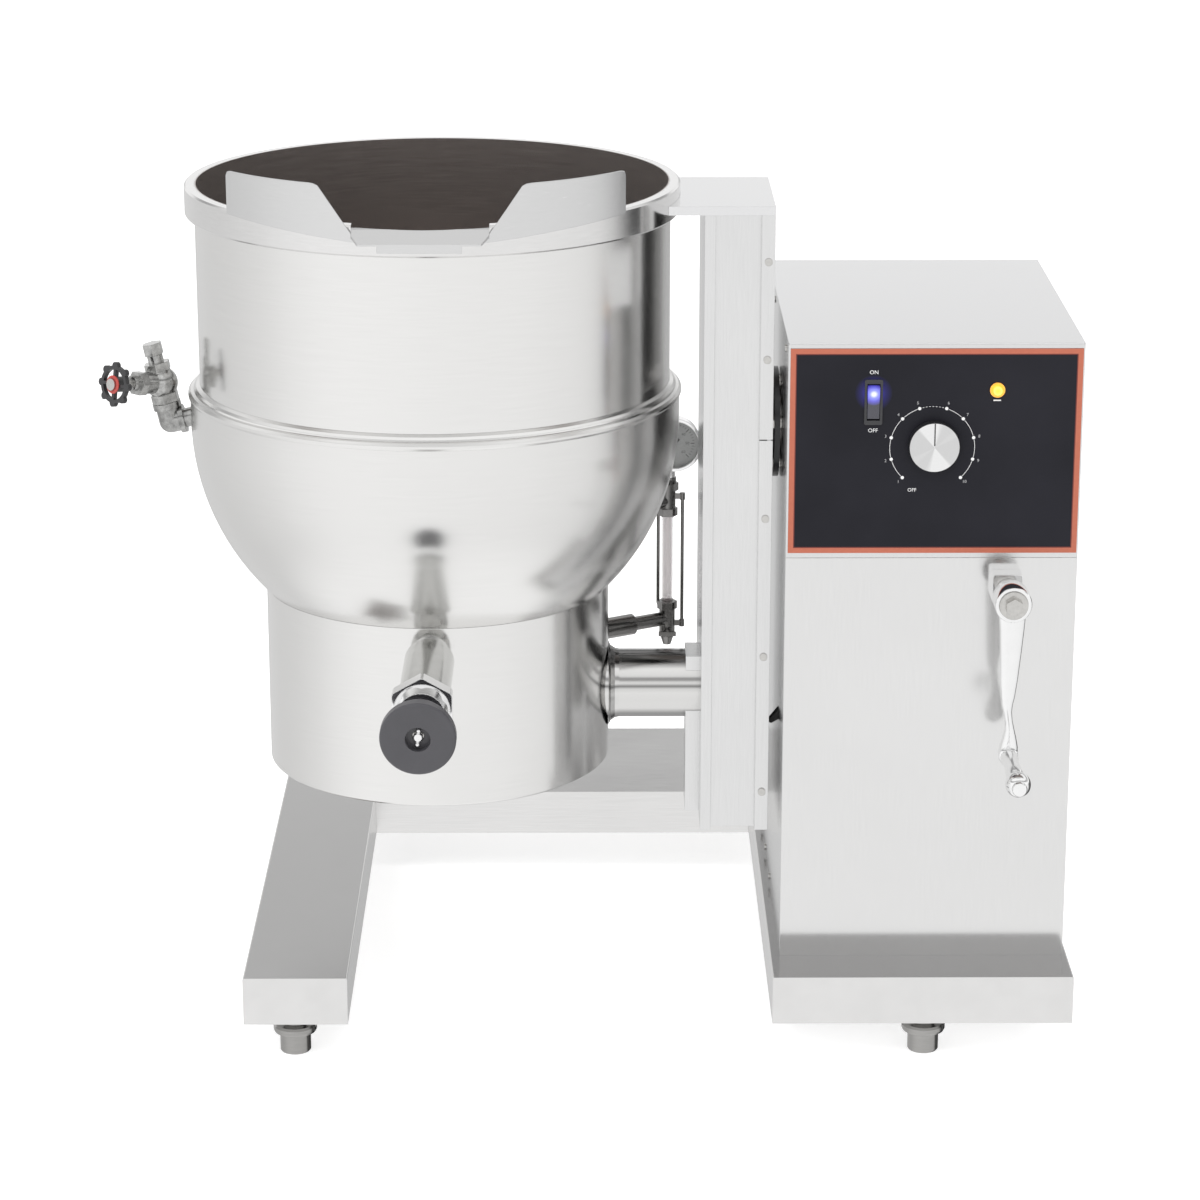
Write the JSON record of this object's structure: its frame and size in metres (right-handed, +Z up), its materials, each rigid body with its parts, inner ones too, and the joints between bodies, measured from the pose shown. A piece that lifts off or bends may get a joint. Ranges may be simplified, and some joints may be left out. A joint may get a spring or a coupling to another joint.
{
  "type": "steam jacketed kettle",
  "caption": "Tilting steam jacketed kettle with a pouring lip and draw-off tap, on a column and trunnion beside a control console, on a floor stand.",
  "frame": {"origin": "bottom centre of the overall bounding box, on the floor", "axes": "+Z up, front (pouring lip, draw-off and controls) faces -Y, console on the +X side"},
  "size_m": [1.0582, 1.0367, 0.976],
  "materials": {
    "polished_steel": "bright polished stainless steel",
    "satin_steel": "fine satin brushed",
    "base_steel": "brushed",
    "machined_steel": "machined, bright",
    "chrome": "polished",
    "galvanised": "cast and galvanised, dull",
    "overlay_black": "fine matt graphic panel",
    "black_plastic": "moulded",
    "rocker_plastic": "lit rocker",
    "lamp_amber": "translucent lens",
    "knob_metal": "turned aluminium cap",
    "black_iron": "black painted",
    "rubber": "matt",
    "bronze": "gear bronze",
    "gauge_body": "stainless case, white dial",
    "gauge_black": "black",
    "clear_glass": "clear"
  },
  "bodies": {
    "stand": {"left_leg": "base_steel", "right_platform": "base_steel", "rear_crossmember": "base_steel", "levelling_feet": "machined_steel", "console_shell": "satin_steel", "console_top": "satin_steel", "control_panel": "satin_steel", "control_overlay": "overlay_black", "lower_front_panel": "satin_steel", "trunnion_stand": "black_iron", "tilt_bearings": "black_iron", "crank_bearing_block": "chrome", "thermostat_body": "black_plastic", "rocker_bezel": "black_plastic", "pilot_lamp": "lamp_amber", "power_gland": "black_plastic", "console_screws": "machined_steel", "tilt_bumper": "rubber"},
    "kettle": {"kettle_bowl": "polished_steel", "bowl_wall": "polished_steel", "rim_band": "polished_steel", "pouring_lip": "polished_steel", "jacket_shell": "polished_steel", "jacket_ring": "polished_steel", "sump_flange": "machined_steel", "heating_elements": "machined_steel", "element_housing": "polished_steel", "housing_cover": "polished_steel", "conduit_tube": "polished_steel", "column_frame": "satin_steel", "column_cover_upper": "satin_steel", "column_cover_lower": "satin_steel", "column_screws": "machined_steel", "column_top_plate": "satin_steel", "trunnion_flange": "black_iron", "flange_bolts": "machined_steel", "trunnion_shaft": "machined_steel", "worm_wheel": "bronze", "drawoff_tube": "chrome", "drawoff_nut": "chrome", "fill_elbow": "galvanised", "fill_valve_body": "galvanised", "gauge_case": "gauge_body", "gauge_lens": "clear_glass", "sight_fittings": "galvanised", "sight_glass": "clear_glass", "safety_valve": "galvanised"},
    "crank": {"worm_shaft": "machined_steel", "crank_arm": "chrome", "crank_bolt": "machined_steel"},
    "grip": {"crank_grip": "chrome"},
    "thermostat": {"thermostat_knob": "knob_metal"},
    "rocker": {"rocker_switch": "rocker_plastic"},
    "drawoff_stem": {"drawoff_stem": "machined_steel"},
    "drawoff_knob": {"drawoff_knob": "black_plastic"},
    "fill_stem": {"fill_stem": "machined_steel"},
    "fill_handwheel": {"fill_handwheel": "black_iron"},
    "gauge_needle": {"gauge_needle": "gauge_black"},
    "drain_cock": {"drain_cock": "galvanised"},
    "safety_lever": {"safety_valve_lever": "machined_steel"}
  },
  "joints": [
    {"name": "kettle_tilt", "type": "hinge", "parent": "stand", "child": "kettle", "pos_m": [0.2006, -0.09635, 0.666], "axis": [1, 0, 0], "range_deg": [0, 90]},
    {"name": "crank_turn", "type": "hinge", "parent": "stand", "child": "crank", "pos_m": [0.4476, -0.24635, 0.526], "axis": [0, 1, 0], "range_deg": [-5130, 0]},
    {"name": "grip_spin", "type": "hinge", "parent": "crank", "child": "grip", "pos_m": [0.4476, -0.38635, 0.358], "axis": [0, -1, 0], "continuous": true},
    {"name": "thermostat_turn", "type": "hinge", "parent": "stand", "child": "thermostat", "pos_m": [0.3668, -0.26635, 0.679], "axis": [0, 1, 0], "range_deg": [-140, 140]},
    {"name": "rocker_press", "type": "hinge", "parent": "stand", "child": "rocker", "pos_m": [0.3021, -0.24685, 0.726], "axis": [1, 0, 0], "range_deg": [-14, 0]},
    {"name": "drawoff_stem_slide", "type": "slide", "parent": "kettle", "child": "drawoff_stem", "axis": [-0.018, -0.9974, -0.0697], "range_m": [0, 0.025]},
    {"name": "drawoff_knob_turn", "type": "hinge", "parent": "drawoff_stem", "child": "drawoff_knob", "pos_m": [-0.17095, -0.50877, 0.44231], "axis": [-0.018, -0.9974, -0.0697], "range_deg": [0, 900]},
    {"name": "fill_stem_slide", "type": "slide", "parent": "kettle", "child": "fill_stem", "axis": [-0.6661, -0.7316, 0.1453], "range_m": [0, 0.009]},
    {"name": "fill_handwheel_turn", "type": "hinge", "parent": "fill_stem", "child": "fill_handwheel", "pos_m": [-0.50763, -0.14317, 0.71964], "axis": [-0.6661, -0.7316, 0.1453], "range_deg": [0, 1080]},
    {"name": "gauge_needle_turn", "type": "hinge", "parent": "kettle", "child": "gauge_needle", "pos_m": [0.1006, 0.05165, 0.602], "axis": [0, 1, 0], "range_deg": [0, 270], "stiffness_Nm_per_rad": 0.0005},
    {"name": "drain_cock_turn", "type": "hinge", "parent": "kettle", "child": "drain_cock", "pos_m": [0.0932, 0.04165, 0.379], "axis": [0, -1, 0], "range_deg": [0, 90]},
    {"name": "safety_lever_lift", "type": "hinge", "parent": "kettle", "child": "safety_lever", "pos_m": [-0.1654, 0.19465, 0.719], "axis": [1, 0, 0], "range_deg": [0, 25], "stiffness_Nm_per_rad": 0.05, "springref_deg": -11.46}
  ],
  "couplings": [
    {"joint": "crank_turn", "follows": "kettle_tilt", "ratio": -57},
    {"joint": "drawoff_knob_turn", "follows": "drawoff_stem_slide", "rad_per_m": 628.32},
    {"joint": "fill_handwheel_turn", "follows": "fill_stem_slide", "rad_per_m": 2094.4}
  ]
}
